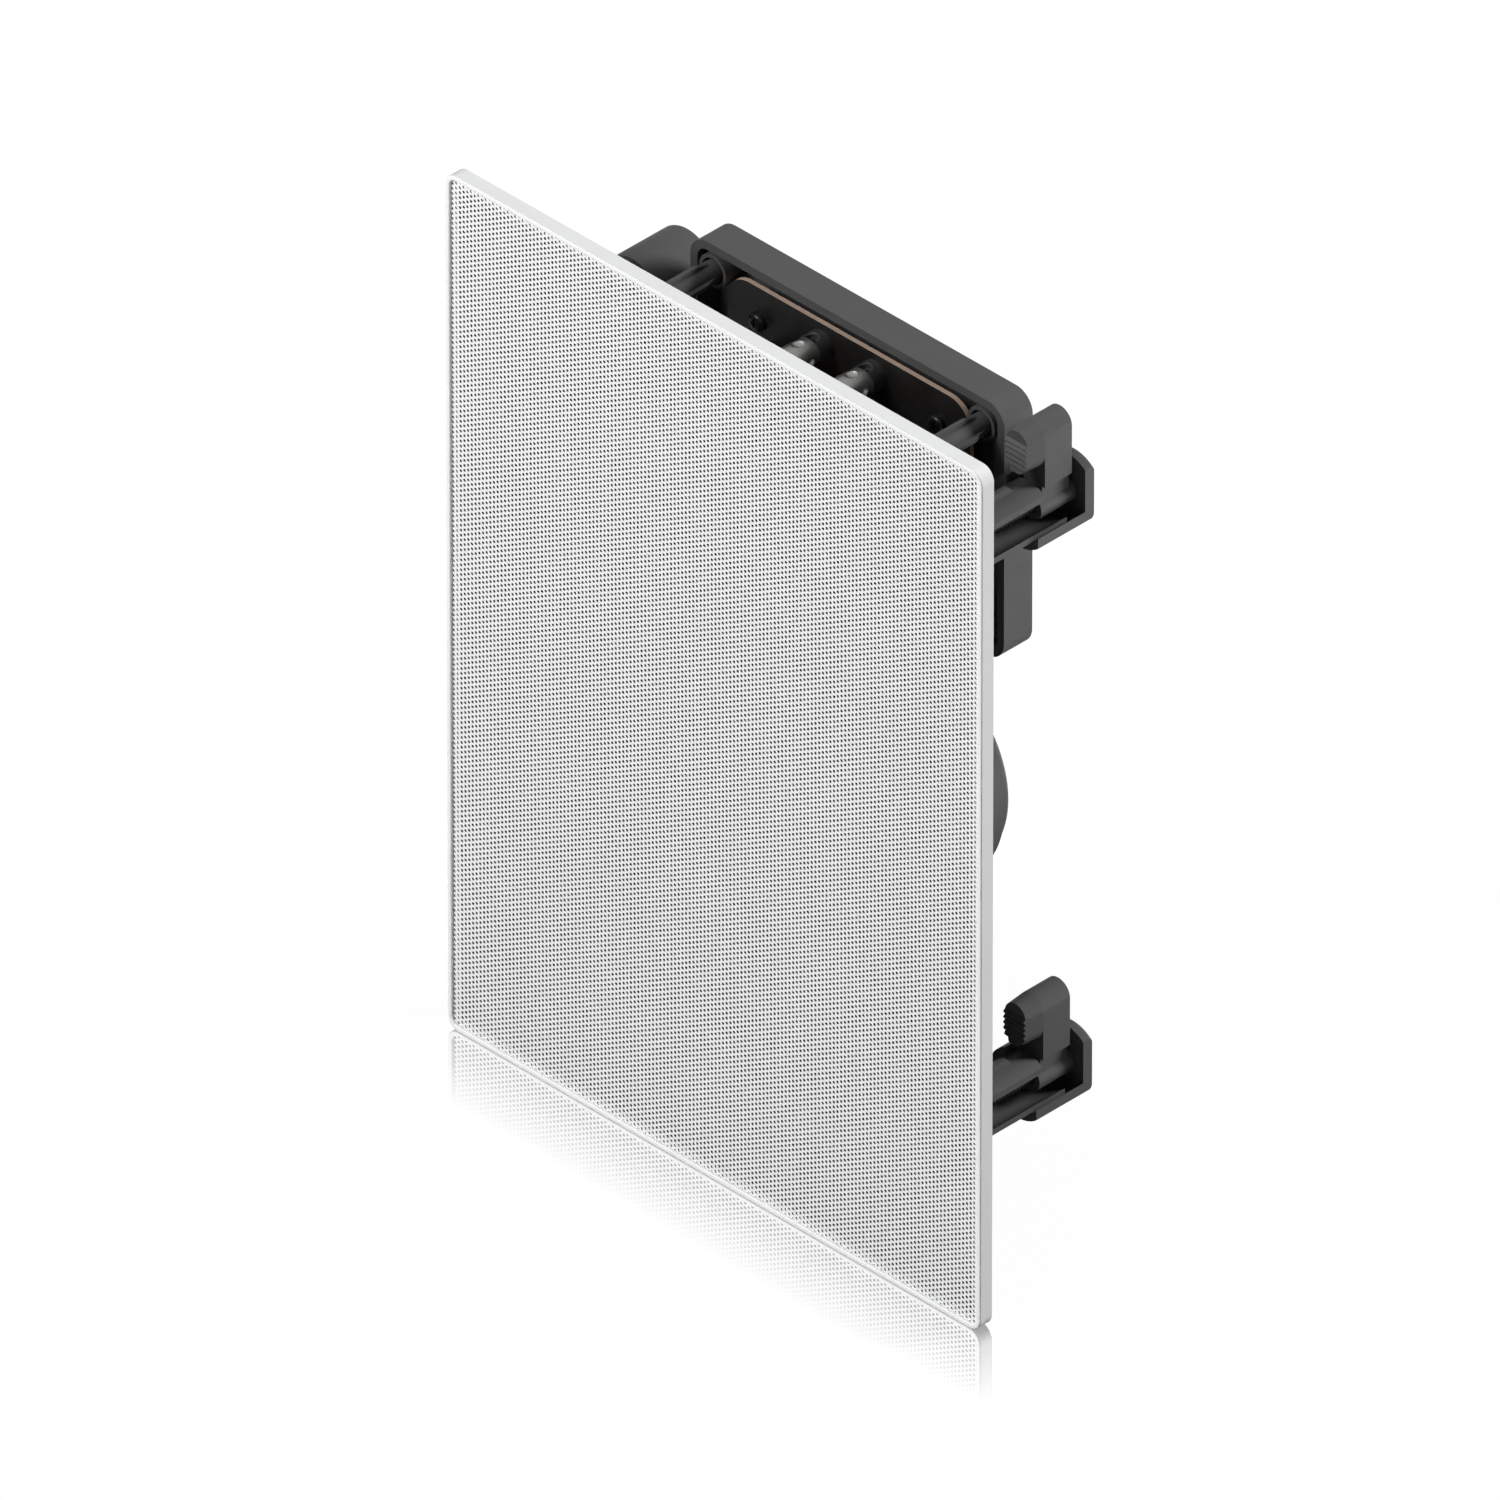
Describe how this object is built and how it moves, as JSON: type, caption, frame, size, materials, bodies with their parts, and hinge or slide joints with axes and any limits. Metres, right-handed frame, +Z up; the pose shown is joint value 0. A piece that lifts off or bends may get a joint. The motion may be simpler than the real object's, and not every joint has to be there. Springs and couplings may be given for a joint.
{
  "type": "in-wall speaker",
  "caption": "Flush in-wall two-way loudspeaker: white perforated magnetic grille over a black baffle with woofer, tweeter, rear crossover tray and swing-out wall clamps.",
  "frame": {"origin": "middle of the wall plane, the plane of the flange's back face", "axes": "+X right as seen from the room, +Y into the wall, +Z up"},
  "size_m": [0.217, 0.0864, 0.3],
  "materials": {
    "grille_white": "satin white paint",
    "black_plastic": "fine matte",
    "black_screw": "black oxide",
    "board": "black solder mask",
    "copper": "enamelled copper wire",
    "capacitor_film": "tape wrap",
    "ceramic": "cement",
    "terminal_dark": "satin",
    "nickel": "satin nickel plate",
    "basket_steel": "black paint",
    "motor_steel": "zinc plate",
    "ferrite": "sintered",
    "magnet_nickel": "nickel plate",
    "rubber": "matte",
    "cone": "moulded",
    "spider_cloth": "resin cloth",
    "dome_silk": "coated silk"
  },
  "bodies": {
    "chassis": {"grille_magnets": "magnet_nickel", "baffle": "black_plastic", "tower_screws": "black_screw", "crossover_tray": "black_plastic", "tray_screws": "black_screw", "crossover_board": "board", "board_screws": "black_screw", "inductor_bobbins": "black_plastic", "inductor_windings": "copper", "film_capacitors": "capacitor_film", "box_capacitors": "black_plastic", "resistor": "ceramic", "terminal_bases": "terminal_dark", "terminal_studs": "nickel", "woofer_basket": "basket_steel", "woofer_trim_ring": "black_plastic", "woofer_screws": "black_screw", "woofer_surround": "rubber", "woofer_spider": "spider_cloth", "woofer_top_plate": "motor_steel", "woofer_magnet": "ferrite", "woofer_yoke": "motor_steel", "magnet_cover": "black_plastic", "tweeter_faceplate": "black_plastic", "tweeter_screws": "black_screw", "tweeter_dome": "dome_silk", "tweeter_voice_coil": "copper", "tweeter_pole_plate": "motor_steel", "tweeter_magnet": "magnet_nickel", "tweeter_yoke": "motor_steel", "tweeter_rear_cup": "black_plastic", "clamp_tower_upper_right": "black_plastic", "clamp_tower_lower_right": "black_plastic", "clamp_tower_upper_left": "black_plastic", "clamp_tower_lower_left": "black_plastic"},
    "grille": {"grille_frame": "grille_white", "grille_mesh": "grille_white"},
    "cone": {"woofer_cone": "cone", "woofer_dust_cap": "cone", "woofer_voice_coil": "copper"},
    "knob_right": {"terminal_knob_right": "nickel"},
    "knob_left": {"terminal_knob_left": "nickel"},
    "ear_upper_right": {"clamp_ear_upper_right": "black_plastic"},
    "screw_upper_right": {"clamp_screw_upper_right": "black_screw"},
    "ear_lower_right": {"clamp_ear_lower_right": "black_plastic"},
    "screw_lower_right": {"clamp_screw_lower_right": "black_screw"},
    "ear_upper_left": {"clamp_ear_upper_left": "black_plastic"},
    "screw_upper_left": {"clamp_screw_upper_left": "black_screw"},
    "ear_lower_left": {"clamp_ear_lower_left": "black_plastic"},
    "screw_lower_left": {"clamp_screw_lower_left": "black_screw"}
  },
  "joints": [
    {"name": "grille_pull", "type": "slide", "parent": "chassis", "child": "grille", "axis": [0, -1, 0], "range_m": [0, 0.06]},
    {"name": "cone_stroke", "type": "slide", "parent": "chassis", "child": "cone", "axis": [0, 1, 0], "range_m": [-0.004, 0.004], "stiffness_N_per_m": 1250, "deforming": ["woofer_surround", "woofer_spider"]},
    {"name": "knob_turn_right", "type": "hinge", "parent": "chassis", "child": "knob_right", "pos_m": [0.01075, 0.04, 0.1105], "axis": [0, -1, 0], "range_deg": [0, 1080]},
    {"name": "knob_turn_left", "type": "hinge", "parent": "chassis", "child": "knob_left", "pos_m": [-0.01075, 0.04, 0.1105], "axis": [0, -1, 0], "range_deg": [0, 1080]},
    {"name": "ear_swing_upper_right", "type": "hinge", "parent": "chassis", "child": "ear_upper_right", "pos_m": [0.0782, 0.05, 0.1], "axis": [0, 1, 0], "range_deg": [0, 90]},
    {"name": "screw_turn_upper_right", "type": "hinge", "parent": "chassis", "child": "screw_upper_right", "pos_m": [0.0782, 0.05, 0.1], "axis": [0, 1, 0], "continuous": true},
    {"name": "ear_swing_lower_right", "type": "hinge", "parent": "chassis", "child": "ear_lower_right", "pos_m": [0.0782, 0.05, -0.1], "axis": [0, 1, 0], "range_deg": [0, 90]},
    {"name": "screw_turn_lower_right", "type": "hinge", "parent": "chassis", "child": "screw_lower_right", "pos_m": [0.0782, 0.05, -0.1], "axis": [0, 1, 0], "continuous": true},
    {"name": "ear_swing_upper_left", "type": "hinge", "parent": "chassis", "child": "ear_upper_left", "pos_m": [-0.0782, 0.05, 0.1], "axis": [0, 1, 0], "range_deg": [0, 90]},
    {"name": "screw_turn_upper_left", "type": "hinge", "parent": "chassis", "child": "screw_upper_left", "pos_m": [-0.0782, 0.05, 0.1], "axis": [0, 1, 0], "continuous": true},
    {"name": "ear_swing_lower_left", "type": "hinge", "parent": "chassis", "child": "ear_lower_left", "pos_m": [-0.0782, 0.05, -0.1], "axis": [0, 1, 0], "range_deg": [0, 90]},
    {"name": "screw_turn_lower_left", "type": "hinge", "parent": "chassis", "child": "screw_lower_left", "pos_m": [-0.0782, 0.05, -0.1], "axis": [0, 1, 0], "continuous": true}
  ]
}
